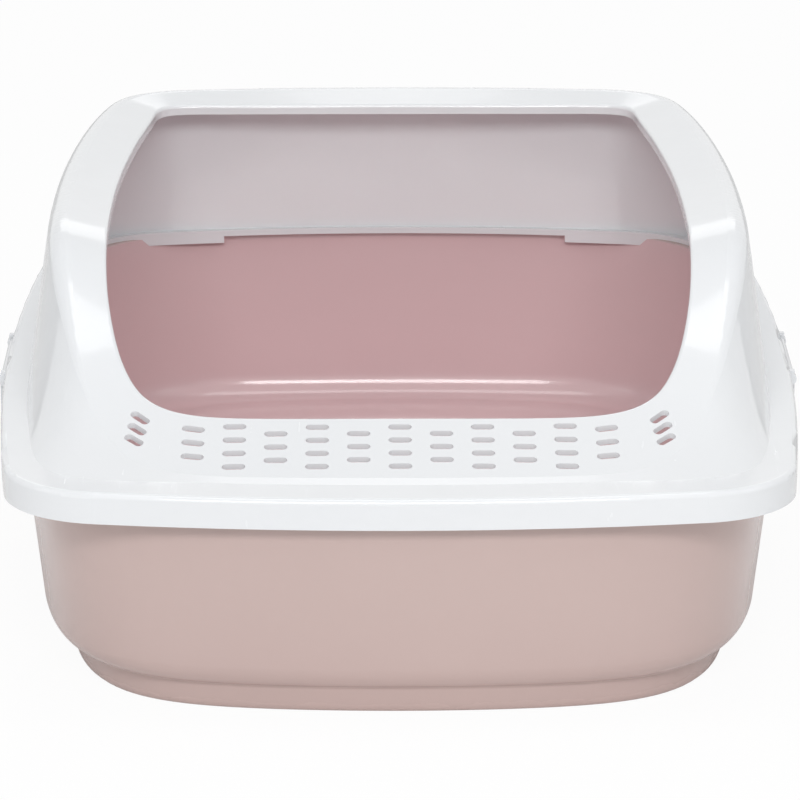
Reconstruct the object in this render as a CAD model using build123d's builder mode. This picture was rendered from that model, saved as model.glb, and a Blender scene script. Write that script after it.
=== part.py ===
from build123d import *
import math
import os

os.makedirs("parts", exist_ok=True)

# overall sizes
rim_width = 357.0
rim_length = 480.0
overall_height = 176.0
wall = 2.2

# plan outline shared by tray and rim
side_bow = 13.0
end_bow = 17.0
corner_radius = 48.0

# heights
foot_height = 12.0
skirt_bottom = 87.6
flange_top = 101.0
flange_width = 11.0
seat_gap = 0.05
notch_top = 97.8
side_play = 2.5

# tray
draft = 7.0
bottom_radius = 18.0
tray_reach = 10.0
bead_height = 8.0
foot_inset = 14.0
foot_wall = 2.4

# shield and opening
drawn_half_w = 178.5
drawn_half_l = 240.0
shield_front_step = 13.0
shield_back_step = 10.3
flange_rounding = 2.5
lip_drop = 4.5
rib_bottom = 94.6
relief_half_width = 85.0
relief_height = 3.4

# slots in the entry apron
slot_length = 10.0
slot_width = 4.0
slot_pitch = 17.7
slot_row = 9.8
apron_depth = 52.4

# clips
clip_length = 60.0
clip_bottom = 46.0
pivot_radius = 1.6
pivot_clearance = 0.06
barrel_radius = 2.4
pivot_inset = 0.3
pivot_z = 95.0
lug_radius = 3.0
pin_depth = 2.6
hook_reach = 9.6
hook_gap = 0.8
hook_slope = 28.0
lug_thickness = 3.5
clip_thickness = 2.2


def bowed(half_w, front, back, bow_s, bow_e, corner):
    with BuildSketch() as face:
        with BuildLine():
            a = (-half_w + bow_s, front + bow_e)
            b = (half_w - bow_s, front + bow_e)
            c = (half_w - bow_s, back - bow_e)
            d = (-half_w + bow_s, back - bow_e)
            mid = (front + back) / 2
            ThreePointArc(a, (0, front), b)
            ThreePointArc(b, (half_w, mid), c)
            ThreePointArc(c, (0, back), d)
            ThreePointArc(d, (-half_w, mid), a)
        make_face()
        fillet(face.vertices(), corner)
    return face.sketch


half_w = rim_width / 2
pivot_x = half_w - pivot_inset
half_l = rim_length / 2
flange_under = flange_top - wall
tray_top = flange_under - seat_gap
edge_half_w = half_w - wall - side_play
edge_half_l = half_l - wall - side_play
wall_half_w = half_w - 12.4
wall_half_l = half_l - 10.4

# litter tray, open tub with a turned-over edge
with BuildPart() as tub_void:
    with BuildSketch(Plane.XY.offset(tray_top + 5)):
        add(bowed(wall_half_w - wall + 0.6, -wall_half_l + wall - 0.6, wall_half_l - wall + 0.6,
                  side_bow, end_bow, corner_radius - 8))
    extrude(amount=-(tray_top + 5 - foot_height - wall), taper=draft)
    fillet(tub_void.edges().group_by(Axis.Z)[0], bottom_radius - wall)

with BuildPart() as tray:
    with BuildSketch(Plane.XY.offset(tray_top)):
        add(bowed(wall_half_w, -wall_half_l, wall_half_l, side_bow, end_bow, corner_radius - 8))
    extrude(amount=-(tray_top - foot_height), taper=draft)
    fillet(tray.edges().group_by(Axis.Z)[0], bottom_radius)
    with BuildSketch(Plane.XY.offset(tray_top)):
        add(bowed(edge_half_w, -edge_half_l, edge_half_l, side_bow, end_bow, corner_radius - 4))
    extrude(amount=-bead_height)
    with BuildSketch(Plane.XY.offset(tray_top - bead_height)):
        add(bowed(edge_half_w - wall, -edge_half_l + wall, edge_half_l - wall,
                  side_bow, end_bow, corner_radius - 6))
        add(bowed(wall_half_w - 0.5, -wall_half_l + 0.5, wall_half_l - 0.5,
                  side_bow, end_bow, corner_radius - 8), mode=Mode.SUBTRACT)
    extrude(amount=bead_height - wall, mode=Mode.SUBTRACT)
    add(tub_void.part, mode=Mode.SUBTRACT)
    foot_w = wall_half_w - (tray_top - foot_height) * math.tan(math.radians(draft)) - foot_inset
    foot_l = wall_half_l - (tray_top - foot_height) * math.tan(math.radians(draft)) - foot_inset
    with BuildSketch(Plane.XY):
        add(bowed(foot_w, -foot_l, foot_l, side_bow * 0.8, end_bow * 0.8, corner_radius - 8))
        add(bowed(foot_w - foot_wall, -foot_l + foot_wall, foot_l - foot_wall,
                  side_bow * 0.8, end_bow * 0.8, corner_radius - 8 - foot_wall), mode=Mode.SUBTRACT)
    extrude(amount=foot_height + 0.5)
tray.part.label = "tray"
export_step(tray.part, "parts/tray.step")

print("tray", tray.part.is_valid, tray.part.bounding_box(), tray.part.volume)

# rim with raised litter shield: a skirt and flange that follow the plan outline, and one
# thin skin lofted from the entry apron round the side to the back of the shield.
# Each station gives the ridge x, y, z, its rounding, and the edge of the opening x, y, z.
stations = [
    ((0, -211, 102), 3.0, (0, -165, 115.6)),
    ((36, -210.5, 102), 3.0, (33, -165, 115.6)),
    ((70, -209, 102), 3.0, (63, -164.8, 115.7)),
    ((97, -203.5, 102.6), 3.0, (86, -163, 116.4)),
    ((116, -190.5, 105.5), 3.4, (101, -158.5, 118.6)),
    ((127, -173, 112), 4.0, (110.5, -151.5, 122.5)),
    ((134.5, -155, 121.5), 4.5, (117, -142, 128.5)),
    ((140, -137, 132.5), 5.0, (121.8, -130, 136)),
    ((145, -118, 146), 5.8, (125.5, -116, 146)),
    ((149.8, -98, 161), 6.8, (128, -100, 156.5)),
    ((153.5, -77, 172.5), 7.6, (129.2, -80, 166.5)),
    ((155.5, -50, 176.9), 8.0, (129.6, -52, 170.9)),
    ((156, -15, 177.3), 8.0, (129.6, -15, 171.3)),
    ((155.5, 25, 177.3), 8.0, (129, 22, 171.3)),
    ((153.8, 65, 177.3), 8.0, (127.3, 60, 171.3)),
    ((150.8, 105, 177.3), 8.0, (124.5, 98, 171.3)),
    ((146.5, 142, 177.3), 8.0, (121, 134, 171.3)),
    ((140.5, 175, 177.3), 8.0, (117.5, 165, 171.3)),
    ((131.5, 198, 177.3), 8.0, (113.5, 184.5, 171.3)),
    ((116, 209.5, 177.3), 8.0, (103, 190, 171.3)),
    ((91, 213.2, 177.3), 8.0, (80, 190.7, 171.3)),
    ((62, 215.3, 177.3), 8.0, (54, 190.9, 171.3)),
    ((31, 216.6, 177.3), 8.0, (27, 191, 171.3)),
    ((0, 217, 177.3), 8.0, (0, 191, 171.3)),
]


def fitted(station):
    """Carries a station from the outline it was drawn on to the rim's present outline."""
    across, along = half_w / drawn_half_w, half_l / drawn_half_l
    ridge, roll, lip = station
    return ((ridge[0] * across, ridge[1] * along, ridge[2]), roll,
            (lip[0] * across, lip[1] * along, lip[2]))


def mirrored(station):
    ridge, roll, lip = station
    return ((-ridge[0], *ridge[1:]), roll, (-lip[0], *lip[1:]))


stations = [fitted(station) for station in stations]
apron_middle = -half_l + apron_depth
shield_foot = bowed(half_w - flange_width, -half_l + shield_front_step,
                    half_l - shield_back_step, side_bow, end_bow, corner_radius - 8)
inner_edge = (half_w - 17.2, -half_l + 27.0, half_l - 15.3)
lap = [mirrored(stations[i]) for i in (3, 2, 1)]
tail = [mirrored(stations[-1 - i]) for i in (1, 2, 3)]
with BuildPart() as half_skin:
    for ridge, roll, lip in lap + stations + tail:
        run = math.hypot(ridge[0] - lip[0], ridge[1] - lip[1])
        outward = ((ridge[0] - lip[0]) / run, (ridge[1] - lip[1]) / run)
        far = (lip[0] + 150 * outward[0], lip[1] + 150 * outward[1], 0)
        ray = Edge.make_line((lip[0], lip[1], 0), far)
        reach = (ray & shield_foot).length
        upright = Plane(origin=(lip[0], lip[1], 0), x_dir=(outward[0], outward[1], 0),
                        z_dir=(outward[1], -outward[0], 0))
        with BuildSketch(upright):
            with BuildLine():
                skin = FilletPolyline((0, lip[2] - lip_drop), (0, lip[2]), (run, ridge[2]),
                                      (reach, flange_top - 1.2), radius=(1.6, roll))
                offset(skin, amount=-wall, side=Side.RIGHT)
            make_face()
    loft()
    split(bisect_by=Plane.YZ, keep=Keep.TOP)

with BuildPart() as half_rim:
    # skirt and flange
    with BuildSketch(Plane.XY.offset(skirt_bottom)):
        add(bowed(half_w, -half_l, half_l, side_bow, end_bow, corner_radius))
    extrude(amount=flange_top - skirt_bottom)
    fillet(half_rim.edges().group_by(Axis.Z)[-1], flange_rounding)
    with BuildSketch(Plane.XY.offset(skirt_bottom)):
        add(bowed(half_w - wall, -half_l + wall, half_l - wall, side_bow, end_bow,
                  corner_radius - wall))
    extrude(amount=flange_under - skirt_bottom, mode=Mode.SUBTRACT)
    with BuildSketch(Plane.XY.offset(flange_under)):
        add(bowed(*inner_edge, side_bow, end_bow, corner_radius - 6))
    extrude(amount=wall, mode=Mode.SUBTRACT)
    # locating rib inside the tray's wall, cut shorter across the back
    with BuildSketch(Plane.XY.offset(rib_bottom)):
        add(bowed(inner_edge[0] + 1.6, inner_edge[1] - 1.6, inner_edge[2] + 1.6, side_bow, end_bow,
                  corner_radius - 4.4))
        add(bowed(*inner_edge, side_bow, end_bow, corner_radius - 6), mode=Mode.SUBTRACT)
    extrude(amount=flange_under + 0.5 - rib_bottom)
    with Locations((0, inner_edge[2] - 4, rib_bottom)):
        Box(2 * relief_half_width, 16, 2 * relief_height, mode=Mode.SUBTRACT)
    split(bisect_by=Plane.YZ, keep=Keep.TOP)
    add(half_skin.part)
    # seat for the tray's edge
    with BuildSketch(Plane.XY.offset(flange_under - 3)):
        add(bowed(half_w - wall, -half_l + wall, half_l - wall, side_bow, end_bow,
                  corner_radius - wall))
        add(bowed(inner_edge[0] + 1.6, inner_edge[1] - 1.6, inner_edge[2] + 1.6, side_bow, end_bow,
                  corner_radius - 4.4), mode=Mode.SUBTRACT)
    extrude(amount=3, mode=Mode.SUBTRACT)
    # notch and pin lugs for the clip
    with Locations((half_w - 1, 0, skirt_bottom - 1)):
        Box(7, clip_length + 1, notch_top - skirt_bottom + 1, mode=Mode.SUBTRACT,
            align=(Align.CENTER, Align.CENTER, Align.MIN))
    for start in (clip_length / 2 + 0.5, -clip_length / 2 - 0.5 - lug_thickness):
        with BuildSketch(Plane.XZ.offset(-start)):
            with Locations((pivot_x, pivot_z)):
                Circle(lug_radius)
            with Locations((pivot_x - 0.4, (pivot_z + flange_under + 0.1) / 2)):
                Rectangle(2 * lug_radius - 1, flange_under + 0.1 - pivot_z)
        extrude(amount=-lug_thickness)
    for start, way in ((clip_length / 2, 1), (-clip_length / 2, -1)):
        with BuildSketch(Plane.XZ.offset(-start)):
            with Locations((pivot_x, pivot_z)):
                Circle(pivot_radius + pivot_clearance)
        extrude(amount=-way * (0.5 + pin_depth + 0.2), mode=Mode.SUBTRACT)
    # litter slots through the entry apron, the outer columns following its corner
    with BuildSketch(Plane.XY.offset(skirt_bottom)):
        for column in range(6):
            rows = 4 if column in (0, 2, 4) else 3
            rise = 4.0 if column == 5 else 0.6 if column == 4 else 0.0
            for row in range(rows):
                place = apron_middle + rise + slot_row * (row - (rows - 1) / 2)
                with Locations((column * slot_pitch, place)):
                    SlotOverall(slot_length, slot_width, rotation=12 if column == 5 else 0)
        for row in range(3):
            with Locations((half_w - 64.7 - row * 1.1, apron_middle + 7.6 + row * 7)):
                SlotOverall(slot_length, slot_width, rotation=43)
    extrude(amount=40, mode=Mode.SUBTRACT)

with BuildPart() as rim:
    add(half_rim.part)
    mirror(about=Plane.YZ)
rim.part.label = "rim"
export_step(rim.part, "parts/rim.step")
print("rim", rim.part.is_valid, rim.part.bounding_box(), len(rim.part.solids()), len(rim.faces()))

# side clips, each hinged on the rim and hooked under the tray's edge
for side, name in ((-1, "clip_left"), (1, "clip_right")):
    bead_x = edge_half_w
    bead_z = tray_top - bead_height - hook_gap
    tip_x = bead_x - 3.0
    tip_z = bead_z - 3.0 * math.tan(math.radians(hook_slope))
    with BuildPart() as clip:
        with BuildSketch(Plane.XZ.offset(-clip_length / 2)):
            with Locations((side * pivot_x, pivot_z)):
                Circle(barrel_radius)
            with BuildLine():
                Polyline((side * (pivot_x + 0.2), pivot_z), (side * (pivot_x + 0.2), clip_bottom),
                         (side * (pivot_x + barrel_radius), clip_bottom),
                         (side * (pivot_x + barrel_radius), pivot_z),
                         (side * (pivot_x + 0.2), pivot_z))
            make_face()
        extrude(amount=clip_length)
        with BuildSketch(Plane.XZ.offset(-clip_length / 3)):
            with BuildLine():
                Polyline((side * (pivot_x + 1), bead_z), (side * bead_x, bead_z), (side * tip_x, tip_z),
                         (side * tip_x, tip_z - 1.2), (side * (pivot_x + 1), tip_z - 5),
                         (side * (pivot_x + 1), bead_z))
            make_face()
        extrude(amount=2 * clip_length / 3)
        with BuildSketch(Plane.XZ.offset(-clip_length / 2 - pin_depth)):
            with Locations((side * pivot_x, pivot_z)):
                Circle(pivot_radius)
        extrude(amount=clip_length + 2 * pin_depth)
        bottom = clip.edges().filter_by(Axis.X).sort_by(Axis.Z)[:2]
        fillet(bottom, 8)
    clip.part.label = name
    export_step(clip.part, "parts/" + name + ".step")
    print(name, clip.part.is_valid, clip.part.bounding_box(), len(clip.part.solids()))
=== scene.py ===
import math
import bmesh
import bpy
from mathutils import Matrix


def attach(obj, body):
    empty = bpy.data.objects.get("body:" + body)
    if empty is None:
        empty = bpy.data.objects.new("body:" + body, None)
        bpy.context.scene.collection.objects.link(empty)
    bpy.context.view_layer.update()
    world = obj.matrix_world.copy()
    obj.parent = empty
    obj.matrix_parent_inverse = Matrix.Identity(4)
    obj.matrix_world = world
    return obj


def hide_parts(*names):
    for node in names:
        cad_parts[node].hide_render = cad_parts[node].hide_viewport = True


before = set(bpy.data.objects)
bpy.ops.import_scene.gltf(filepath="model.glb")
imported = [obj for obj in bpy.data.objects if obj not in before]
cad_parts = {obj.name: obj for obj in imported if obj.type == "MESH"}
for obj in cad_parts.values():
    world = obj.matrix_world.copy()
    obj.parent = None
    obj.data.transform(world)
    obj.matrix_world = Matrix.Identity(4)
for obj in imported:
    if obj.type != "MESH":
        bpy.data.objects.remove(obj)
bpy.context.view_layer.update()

# The view of the photograph: from the front through a long lens, a little above the rim,
# with the tray turned by less than half a degree.
elevation = math.radians(16.0)
turn = math.radians(-0.4)
distance = 2.5
aim_height = 0.0757
aim_side = 0.0012
front_view = bpy.data.cameras.new("front_view")
front_view.lens = 244.0
front_view.sensor_width = 36.0
front_view.clip_end = 30.0
camera = bpy.data.objects.new("front_view", front_view)
camera.location = (aim_side + distance * math.cos(elevation) * math.sin(turn),
                   -distance * math.cos(elevation) * math.cos(turn),
                   aim_height + distance * math.sin(elevation))
camera.rotation_euler = (math.pi / 2 - elevation, 0.0, turn)
bpy.context.collection.objects.link(camera)
bpy.context.scene.camera = camera
bpy.context.scene.view_settings.view_transform = "Standard"

# Litter tray: one deep tub, injection moulded in dusty rose polypropylene and polished, with a
# small turned edge at the top that carries the rim, and a recessed ring foot that it stands on.
# Its section is drawn once below and carried round a bowed rectangle with round corners.
edge_half_wide = 0.1736
edge_half_long = 0.2350
squareness = 6.6
side_bow = 0.013
end_bow = 0.017
end_share = 0.68
steps_round = 288
lean_degrees = 6.6
wall_lean = math.tan(math.radians(lean_degrees))
wall_thick = 0.0022
wall_inset = 0.0036
wall_top = 0.0962
foot_rise = 0.0112
bottom_curve = 0.0135
curve_parts = 12
inner_curve = 0.0150
inner_start = 0.0020
floor_above_foot = 0.0030
floor_run = 0.012
# The section, as inset from the edge and height: floor, up the inside, over the edge, down the
# outside, under the curve, down the foot and in below the floor.
low_inset = wall_inset + (wall_top - foot_rise - bottom_curve) * wall_lean
inside = [(0.0052, 0.0980)]
for rise in (0.094, 0.075, 0.055, 0.040, foot_rise + bottom_curve + 0.004):
    inside.append((wall_inset + wall_thick + (wall_top - rise) * wall_lean, rise))
for part in range(1, curve_parts + 1):
    bend = math.radians(lean_degrees + 83.4 * part / curve_parts)
    inside.append((low_inset + inner_start + inner_curve * (1 - math.cos(bend)),
                   foot_rise + floor_above_foot + inner_curve * (1 - math.sin(bend))))
inside.append((inside[-1][0] + floor_run, inside[-1][1]))
turned_edge = [(0.0042, 0.0986), (0.0030, 0.09875), (0.0014, 0.0987), (0.0004, 0.0981),
               (0.0, 0.0970), (0.0, 0.0912), (0.0006, 0.0908), (0.0018, 0.0908),
               (0.0024, 0.0912), (0.0030, wall_top - 0.0016),
               (wall_inset + 0.0008, wall_top - 0.0010)]
outside = []
for rise in (0.0905, 0.075, 0.055, 0.040, foot_rise + bottom_curve + 0.002):
    outside.append((wall_inset + (wall_top - rise) * wall_lean, rise))
for part in range(1, curve_parts + 1):
    bend = math.radians(lean_degrees + 70.0 * part / curve_parts)
    outside.append((low_inset + bottom_curve * (1 - math.cos(bend)),
                    foot_rise + bottom_curve * (1 - math.sin(bend))))
foot_inset = outside[-1][0] + 0.0008
foot = [(foot_inset, foot_rise - 0.0004), (foot_inset + 0.0002, foot_rise - 0.0014),
        (foot_inset + 0.0010, 0.0030), (foot_inset + 0.0014, 0.0012),
        (foot_inset + 0.0024, 0.0003), (foot_inset + 0.0036, 0.0), (foot_inset + 0.0046, 0.0),
        (foot_inset + 0.0050, 0.0006), (foot_inset + 0.0052, foot_rise - 0.0010),
        (foot_inset + 0.0062, foot_rise), (foot_inset + 0.0160, foot_rise)]
section = list(reversed(inside)) + turned_edge + outside + foot
line = bpy.data.meshes.new("tub_section")
line.from_pydata([(inset, 0.0, rise) for inset, rise in section],
                 [(n, n + 1) for n in range(len(section) - 1)], [])
# the basin's inside is marked, because its colour is lifted there: mostly painted light on the
# shaded inside, and a little pinker than the outside
indoors = line.attributes.new("indoors", "FLOAT", "POINT")
for n in range(len(section)):
    indoors.data[n].value = 1.0 if n < len(inside) else 0.0
pattern = bpy.data.objects.new("tub_section", line)
bpy.context.collection.objects.link(pattern)

tree = bpy.data.node_groups.new("tub_from_section", "GeometryNodeTree")
tree.interface.new_socket("Geometry", in_out="INPUT", socket_type="NodeSocketGeometry")
for name, kind, value in (("Half Wide", "NodeSocketFloat", edge_half_wide),
                          ("Half Long", "NodeSocketFloat", edge_half_long),
                          ("Squareness", "NodeSocketFloat", squareness),
                          ("Side Bow", "NodeSocketFloat", side_bow),
                          ("End Bow", "NodeSocketFloat", end_bow),
                          ("End Share", "NodeSocketFloat", end_share),
                          ("Steps Round", "NodeSocketInt", steps_round),
                          ("Plastic", "NodeSocketMaterial", None)):
    socket = tree.interface.new_socket(name, in_out="INPUT", socket_type=kind)
    if value is not None:
        socket.default_value = value
tree.interface.new_socket("Geometry", in_out="OUTPUT", socket_type="NodeSocketGeometry")
given = tree.nodes.new("NodeGroupInput")


def figure(operation, first, second=None):
    """One Math node of the tub's tree; each operand is a socket or a number."""
    node = tree.nodes.new("ShaderNodeMath")
    node.operation = operation
    for slot, value in ((0, first), (1, second)):
        if isinstance(value, (int, float)):
            node.inputs[slot].default_value = value
        elif value is not None:
            tree.links.new(value, node.inputs[slot])
    return node.outputs["Value"]


def remember(shape, name):
    """Keeps where each point of a curve stands, to be read again once the wall is made."""
    keep = tree.nodes.new("GeometryNodeStoreNamedAttribute")
    keep.data_type = "FLOAT_VECTOR"
    keep.domain = "POINT"
    keep.inputs["Name"].default_value = name
    tree.links.new(shape, keep.inputs["Geometry"])
    stand = tree.nodes.new("GeometryNodeInputPosition")
    tree.links.new(stand.outputs["Position"], keep.inputs["Value"])
    read = tree.nodes.new("GeometryNodeInputNamedAttribute")
    read.data_type = "FLOAT_VECTOR"
    read.inputs["Name"].default_value = name
    parts = tree.nodes.new("ShaderNodeSeparateXYZ")
    tree.links.new(read.outputs["Attribute"], parts.inputs["Vector"])
    return keep.outputs["Geometry"], parts.outputs


to_curve = tree.nodes.new("GeometryNodeMeshToCurve")
tree.links.new(given.outputs["Geometry"], to_curve.inputs["Mesh"])
cut, drawn = remember(to_curve.outputs["Curve"], "drawn")
circle = tree.nodes.new("GeometryNodeCurvePrimitiveCircle")
circle.inputs["Radius"].default_value = 1.0
tree.links.new(given.outputs["Steps Round"], circle.inputs["Resolution"])
path, heading = remember(circle.outputs["Curve"], "heading")
sweep = tree.nodes.new("GeometryNodeCurveToMesh")
tree.links.new(path, sweep.inputs["Curve"])
tree.links.new(cut, sweep.inputs["Profile Curve"])
# each ring of the wall is a rounded rectangle of its own half sizes, bowed along every side
power = given.outputs["Squareness"]
wide = figure("SUBTRACT", given.outputs["Half Wide"], drawn["X"])
end_inset = figure("MULTIPLY", drawn["X"], given.outputs["End Share"])
long = figure("SUBTRACT", given.outputs["Half Long"], end_inset)
across = figure("POWER", figure("DIVIDE", figure("ABSOLUTE", heading["X"]), wide), power)
along = figure("POWER", figure("DIVIDE", figure("ABSOLUTE", heading["Y"]), long), power)
reach = figure("POWER", figure("ADD", across, along), figure("DIVIDE", -1.0, power))
flat_x = figure("MULTIPLY", heading["X"], reach)
flat_y = figure("MULTIPLY", heading["Y"], reach)
far_along = figure("POWER", figure("ABSOLUTE", figure("DIVIDE", flat_y, long)), 2.0)
far_across = figure("POWER", figure("ABSOLUTE", figure("DIVIDE", flat_x, wide)), 2.0)
side_fall = figure("DIVIDE", figure("MULTIPLY", given.outputs["Side Bow"], far_along), wide)
end_fall = figure("DIVIDE", figure("MULTIPLY", given.outputs["End Bow"], far_across), long)
spot = tree.nodes.new("ShaderNodeCombineXYZ")
tree.links.new(figure("MULTIPLY", flat_x, figure("SUBTRACT", 1.0, side_fall)), spot.inputs["X"])
tree.links.new(figure("MULTIPLY", flat_y, figure("SUBTRACT", 1.0, end_fall)), spot.inputs["Y"])
tree.links.new(drawn["Z"], spot.inputs["Z"])
move = tree.nodes.new("GeometryNodeSetPosition")
tree.links.new(sweep.outputs["Mesh"], move.inputs["Geometry"])
tree.links.new(spot.outputs["Vector"], move.inputs["Position"])
whole = tree.nodes.new("GeometryNodeRealizeInstances")
tree.links.new(move.outputs["Geometry"], whole.inputs["Geometry"])
coat = tree.nodes.new("GeometryNodeSetMaterial")
tree.links.new(whole.outputs["Geometry"], coat.inputs["Geometry"])
tree.links.new(given.outputs["Plastic"], coat.inputs["Material"])
made = tree.nodes.new("NodeGroupOutput")
tree.links.new(coat.outputs["Geometry"], made.inputs["Geometry"])

rose_plastic = bpy.data.materials.new("rose_plastic")
rose_plastic.use_nodes = True
nodes = rose_plastic.node_tree.nodes
links = rose_plastic.node_tree.links
gloss = nodes["Principled BSDF"]
gloss.inputs["IOR"].default_value = 1.49
gloss.inputs["Coat Weight"].default_value = 0.35
gloss.inputs["Coat Roughness"].default_value = 0.06
place = nodes.new("ShaderNodeTexCoord")
spread = nodes.new("ShaderNodeMapping")
spread.inputs["Scale"].default_value = (1.0, 1.0, 1.6)
links.new(place.outputs["Object"], spread.inputs["Vector"])
flow = nodes.new("ShaderNodeTexNoise")
flow.inputs["Scale"].default_value = 5.0
flow.inputs["Detail"].default_value = 3.0
links.new(spread.outputs["Vector"], flow.inputs["Vector"])
tint = nodes.new("ShaderNodeValToRGB")
tint.color_ramp.elements[0].position = 0.35
tint.color_ramp.elements[0].color = (0.548, 0.418, 0.392, 1.0)
tint.color_ramp.elements[1].position = 0.7
tint.color_ramp.elements[1].color = (0.572, 0.440, 0.412, 1.0)
links.new(flow.outputs["Fac"], tint.inputs["Fac"])
# painted light: the inside's colour is multiplied up by about a third to brighten its shade,
# with a slight pinker tint
painted_inside_light = nodes.new("ShaderNodeMix")
painted_inside_light.data_type = "RGBA"
painted_inside_light.blend_type = "MULTIPLY"
within = nodes.new("ShaderNodeAttribute")
within.attribute_name = "indoors"
links.new(within.outputs["Fac"], painted_inside_light.inputs["Factor"])
links.new(tint.outputs["Color"], painted_inside_light.inputs["A"])
painted_inside_light.inputs["B"].default_value = (1.30, 1.24, 1.35, 1.0)
links.new(painted_inside_light.outputs["Result"], gloss.inputs["Base Color"])
haze = nodes.new("ShaderNodeTexNoise")
haze.inputs["Scale"].default_value = 60.0
haze.inputs["Detail"].default_value = 6.0
links.new(place.outputs["Object"], haze.inputs["Vector"])
sheen = nodes.new("ShaderNodeMapRange")
sheen.inputs["From Min"].default_value = 0.3
sheen.inputs["From Max"].default_value = 0.75
sheen.inputs["To Min"].default_value = 0.13
sheen.inputs["To Max"].default_value = 0.22
links.new(haze.outputs["Fac"], sheen.inputs["Value"])
height = nodes.new("ShaderNodeSeparateXYZ")
links.new(place.outputs["Object"], height.inputs["Vector"])
low_down = nodes.new("ShaderNodeMapRange")
low_down.inputs["From Min"].default_value = 0.006
low_down.inputs["From Max"].default_value = 0.0005
links.new(height.outputs["Z"], low_down.inputs["Value"])
rubbed = nodes.new("ShaderNodeMath")
rubbed.operation = "MULTIPLY"
links.new(low_down.outputs["Result"], rubbed.inputs[0])
links.new(haze.outputs["Fac"], rubbed.inputs[1])
dulled = nodes.new("ShaderNodeMath")
dulled.operation = "MULTIPLY_ADD"
dulled.inputs[1].default_value = 0.45
links.new(rubbed.outputs["Value"], dulled.inputs[0])
links.new(sheen.outputs["Result"], dulled.inputs[2])
links.new(dulled.outputs["Value"], gloss.inputs["Roughness"])
ripple = nodes.new("ShaderNodeTexNoise")
ripple.inputs["Scale"].default_value = 420.0
ripple.inputs["Detail"].default_value = 2.0
links.new(place.outputs["Object"], ripple.inputs["Vector"])
skin = nodes.new("ShaderNodeBump")
skin.inputs["Strength"].default_value = 0.05
skin.inputs["Distance"].default_value = 0.0004
links.new(ripple.outputs["Fac"], skin.inputs["Height"])
links.new(skin.outputs["Normal"], gloss.inputs["Normal"])

sweeping = pattern.modifiers.new("tub_from_section", "NODES")
sweeping.node_group = tree
for socket in tree.interface.items_tree:
    if socket.in_out == "INPUT" and socket.name == "Plastic":
        sweeping[socket.identifier] = rose_plastic
    elif socket.in_out == "INPUT" and socket.name != "Geometry":
        sweeping[socket.identifier] = socket.default_value
bpy.context.view_layer.update()
swept = pattern.evaluated_get(bpy.context.evaluated_depsgraph_get())
tub = bpy.data.meshes.new_from_object(swept)
bpy.data.objects.remove(pattern)
tub.name = "tub"
shell = bmesh.new()
shell.from_mesh(tub)
bmesh.ops.remove_doubles(shell, verts=shell.verts, dist=0.00001)
open_rings = [side for side in shell.edges if side.is_boundary]
bmesh.ops.holes_fill(shell, edges=open_rings, sides=0)
bmesh.ops.recalc_face_normals(shell, faces=shell.faces)
for face in shell.faces:
    face.smooth = True
shell.to_mesh(tub)
shell.free()
tub.set_sharp_from_angle(angle=math.radians(42))
tray = bpy.data.objects.new("tub", tub)
bpy.context.collection.objects.link(tray)
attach(tray, "tray")
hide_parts("tray")

# Rim and litter shield: one thin white moulding that drops over the tray's edge, with the
# slotted entry apron in front. Glossy polypropylene, a little cooler and harder than the tub.
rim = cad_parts["rim"]
white_plastic = bpy.data.materials.new("white_plastic")
white_plastic.use_nodes = True
nodes = white_plastic.node_tree.nodes
links = white_plastic.node_tree.links
gloss = nodes["Principled BSDF"]
gloss.inputs["IOR"].default_value = 1.49
gloss.inputs["Coat Weight"].default_value = 0.4
gloss.inputs["Coat Roughness"].default_value = 0.05
place = nodes.new("ShaderNodeTexCoord")
flow = nodes.new("ShaderNodeTexNoise")
flow.inputs["Scale"].default_value = 4.0
flow.inputs["Detail"].default_value = 3.0
links.new(place.outputs["Object"], flow.inputs["Vector"])
tint = nodes.new("ShaderNodeValToRGB")
tint.color_ramp.elements[0].position = 0.35
tint.color_ramp.elements[0].color = (0.775, 0.792, 0.812, 1.0)
tint.color_ramp.elements[1].position = 0.7
tint.color_ramp.elements[1].color = (0.805, 0.820, 0.838, 1.0)
links.new(flow.outputs["Fac"], tint.inputs["Fac"])
links.new(tint.outputs["Color"], gloss.inputs["Base Color"])
haze = nodes.new("ShaderNodeTexNoise")
haze.inputs["Scale"].default_value = 55.0
haze.inputs["Detail"].default_value = 6.0
links.new(place.outputs["Object"], haze.inputs["Vector"])
sheen = nodes.new("ShaderNodeMapRange")
sheen.inputs["From Min"].default_value = 0.3
sheen.inputs["From Max"].default_value = 0.75
sheen.inputs["To Min"].default_value = 0.11
sheen.inputs["To Max"].default_value = 0.19
links.new(haze.outputs["Fac"], sheen.inputs["Value"])
depth = nodes.new("ShaderNodeSeparateXYZ")
links.new(place.outputs["Object"], depth.inputs["Vector"])
doorway = nodes.new("ShaderNodeMapRange")
doorway.inputs["From Min"].default_value = -0.12
doorway.inputs["From Max"].default_value = -0.17
links.new(depth.outputs["Y"], doorway.inputs["Value"])
stretch = nodes.new("ShaderNodeMapping")
stretch.inputs["Scale"].default_value = (320.0, 26.0, 60.0)
links.new(place.outputs["Object"], stretch.inputs["Vector"])
hairlines = nodes.new("ShaderNodeTexNoise")
hairlines.inputs["Scale"].default_value = 1.0
hairlines.inputs["Detail"].default_value = 4.0
links.new(stretch.outputs["Vector"], hairlines.inputs["Vector"])
fine_marks = nodes.new("ShaderNodeMapRange")
fine_marks.inputs["From Min"].default_value = 0.60
fine_marks.inputs["From Max"].default_value = 0.68
links.new(hairlines.outputs["Fac"], fine_marks.inputs["Value"])
walked = nodes.new("ShaderNodeMath")
walked.operation = "MULTIPLY"
links.new(doorway.outputs["Result"], walked.inputs[0])
links.new(fine_marks.outputs["Result"], walked.inputs[1])
dulled = nodes.new("ShaderNodeMath")
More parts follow.
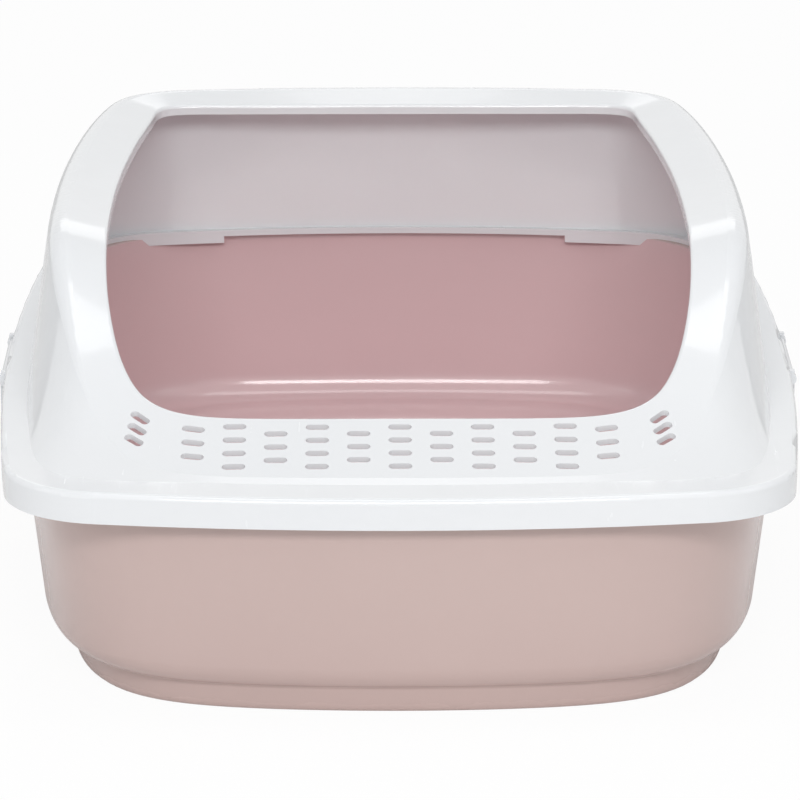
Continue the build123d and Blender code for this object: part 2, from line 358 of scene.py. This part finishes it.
dulled.operation = "MULTIPLY_ADD"
dulled.inputs[1].default_value = 0.12
links.new(walked.outputs["Value"], dulled.inputs[0])
links.new(sheen.outputs["Result"], dulled.inputs[2])
links.new(dulled.outputs["Value"], gloss.inputs["Roughness"])
ripple = nodes.new("ShaderNodeTexNoise")
ripple.inputs["Scale"].default_value = 380.0
ripple.inputs["Detail"].default_value = 2.0
links.new(place.outputs["Object"], ripple.inputs["Vector"])
skin = nodes.new("ShaderNodeBump")
skin.inputs["Strength"].default_value = 0.04
skin.inputs["Distance"].default_value = 0.0004
links.new(ripple.outputs["Fac"], skin.inputs["Height"])
links.new(skin.outputs["Normal"], gloss.inputs["Normal"])
rim.data.materials.clear()
rim.data.materials.append(white_plastic)

# Side clips: two flat white catches that turn on pins under the rim's edge and hook below the
# tray's bead. Moulded in the same white as the rim, and duller on the tab that fingers pull.
clip_plastic = bpy.data.materials.new("clip_plastic")
clip_plastic.use_nodes = True
nodes = clip_plastic.node_tree.nodes
links = clip_plastic.node_tree.links
gloss = nodes["Principled BSDF"]
gloss.inputs["IOR"].default_value = 1.49
gloss.inputs["Coat Weight"].default_value = 0.2
gloss.inputs["Coat Roughness"].default_value = 0.08
place = nodes.new("ShaderNodeTexCoord")
flow = nodes.new("ShaderNodeTexNoise")
flow.inputs["Scale"].default_value = 30.0
flow.inputs["Detail"].default_value = 3.0
links.new(place.outputs["Object"], flow.inputs["Vector"])
tint = nodes.new("ShaderNodeValToRGB")
tint.color_ramp.elements[0].position = 0.35
tint.color_ramp.elements[0].color = (0.735, 0.750, 0.768, 1.0)
tint.color_ramp.elements[1].position = 0.7
tint.color_ramp.elements[1].color = (0.780, 0.794, 0.812, 1.0)
links.new(flow.outputs["Fac"], tint.inputs["Fac"])
links.new(tint.outputs["Color"], gloss.inputs["Base Color"])
height = nodes.new("ShaderNodeSeparateXYZ")
links.new(place.outputs["Object"], height.inputs["Vector"])
handled = nodes.new("ShaderNodeMapRange")
handled.inputs["From Min"].default_value = 0.085
handled.inputs["From Max"].default_value = 0.050
handled.inputs["To Min"].default_value = 0.20
handled.inputs["To Max"].default_value = 0.34
links.new(height.outputs["Z"], handled.inputs["Value"])
grease = nodes.new("ShaderNodeTexNoise")
grease.inputs["Scale"].default_value = 180.0
grease.inputs["Detail"].default_value = 5.0
links.new(place.outputs["Object"], grease.inputs["Vector"])
smudge = nodes.new("ShaderNodeMath")
smudge.operation = "MULTIPLY_ADD"
smudge.inputs[1].default_value = 0.10
links.new(grease.outputs["Fac"], smudge.inputs[0])
links.new(handled.outputs["Result"], smudge.inputs[2])
links.new(smudge.outputs["Value"], gloss.inputs["Roughness"])
skin = nodes.new("ShaderNodeBump")
skin.inputs["Strength"].default_value = 0.08
skin.inputs["Distance"].default_value = 0.0003
links.new(grease.outputs["Fac"], skin.inputs["Height"])
links.new(skin.outputs["Normal"], gloss.inputs["Normal"])
for name in ("clip_left", "clip_right"):
    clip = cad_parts[name]
    clip.data.materials.clear()
    clip.data.materials.append(clip_plastic)

# Studio: a white sheet on the floor, soft boxes in front, overhead, behind and at the sides,
# and an even white surround that also shows in the gloss.
sheet = bpy.data.meshes.new("studio_floor")
sheet.from_pydata([(-6, -5, 0), (6, -5, 0), (6, 9, 0), (-6, 9, 0)], [], [(0, 1, 2, 3)])
floor = bpy.data.objects.new("studio_floor", sheet)
bpy.context.collection.objects.link(floor)
paper = bpy.data.materials.new("white_paper")
paper.use_nodes = True
nodes = paper.node_tree.nodes
links = paper.node_tree.links
nodes.clear()
matt = nodes.new("ShaderNodeBsdfDiffuse")
matt.inputs["Color"].default_value = (0.93, 0.93, 0.93, 1.0)
glow = nodes.new("ShaderNodeEmission")
glow.inputs["Strength"].default_value = 1.0
both = nodes.new("ShaderNodeMixShader")
seen = nodes.new("ShaderNodeLightPath")
share = nodes.new("ShaderNodeMath")
share.operation = "MULTIPLY"
share.inputs[1].default_value = 0.94
links.new(seen.outputs["Is Camera Ray"], share.inputs[0])
links.new(share.outputs["Value"], both.inputs["Fac"])
links.new(matt.outputs["BSDF"], both.inputs[1])
links.new(glow.outputs["Emission"], both.inputs[2])
out = nodes.new("ShaderNodeOutputMaterial")
links.new(both.outputs["Shader"], out.inputs["Surface"])
floor.data.materials.append(paper)

surround = bpy.data.worlds.new("studio_surround")
surround.use_nodes = True
nodes = surround.node_tree.nodes
links = surround.node_tree.links
backdrop = nodes["Background"]
backdrop.inputs["Color"].default_value = (1.0, 1.0, 1.0, 1.0)
seen = nodes.new("ShaderNodeLightPath")
clear = nodes.new("ShaderNodeMath")
clear.operation = "MAXIMUM"
links.new(seen.outputs["Is Camera Ray"], clear.inputs[0])
links.new(seen.outputs["Is Transmission Ray"], clear.inputs[1])
mirrored = nodes.new("ShaderNodeMath")
mirrored.operation = "MAXIMUM"
links.new(clear.outputs["Value"], mirrored.inputs[0])
links.new(seen.outputs["Is Glossy Ray"], mirrored.inputs[1])
level = nodes.new("ShaderNodeMapRange")
level.inputs["To Min"].default_value = 0.56
level.inputs["To Max"].default_value = 1.0
links.new(mirrored.outputs["Value"], level.inputs["Value"])
links.new(level.outputs["Result"], backdrop.inputs["Strength"])
bpy.context.scene.world = surround

for name, size, watts, position, target in (
        ("overhead_box", (1.0, 0.5), 3.4, (0.0, -0.20, 1.5), (0.0, 0.0, 0.05)),
        ("back_box", (1.3, 0.6), 1.8, (0.0, 1.9, 1.2), (0.0, 0.1, 0.05)),
        ("front_box", (1.3, 0.45), 19.0, (0.0, -2.0, 1.28), (0.0, 0.08, 0.08)),
        ("left_box", (0.5, 1.2), 1.2, (-1.5, -0.5, 0.8), (0.0, 0.0, 0.1)),
        ("right_box", (0.5, 1.2), 1.2, (1.5, -0.5, 0.8), (0.0, 0.0, 0.1))):
    lamp = bpy.data.lights.new(name, "AREA")
    lamp.shape = "RECTANGLE"
    lamp.size, lamp.size_y = size
    lamp.energy = watts
    box = bpy.data.objects.new(name, lamp)
    box.location = position
    away = [p - t for p, t in zip(position, target)]
    flat = math.hypot(away[0], away[1])
    box.rotation_euler = (math.atan2(flat, away[2]), 0.0,
                          math.atan2(away[1], away[0]) + math.pi / 2)
    bpy.context.collection.objects.link(box)
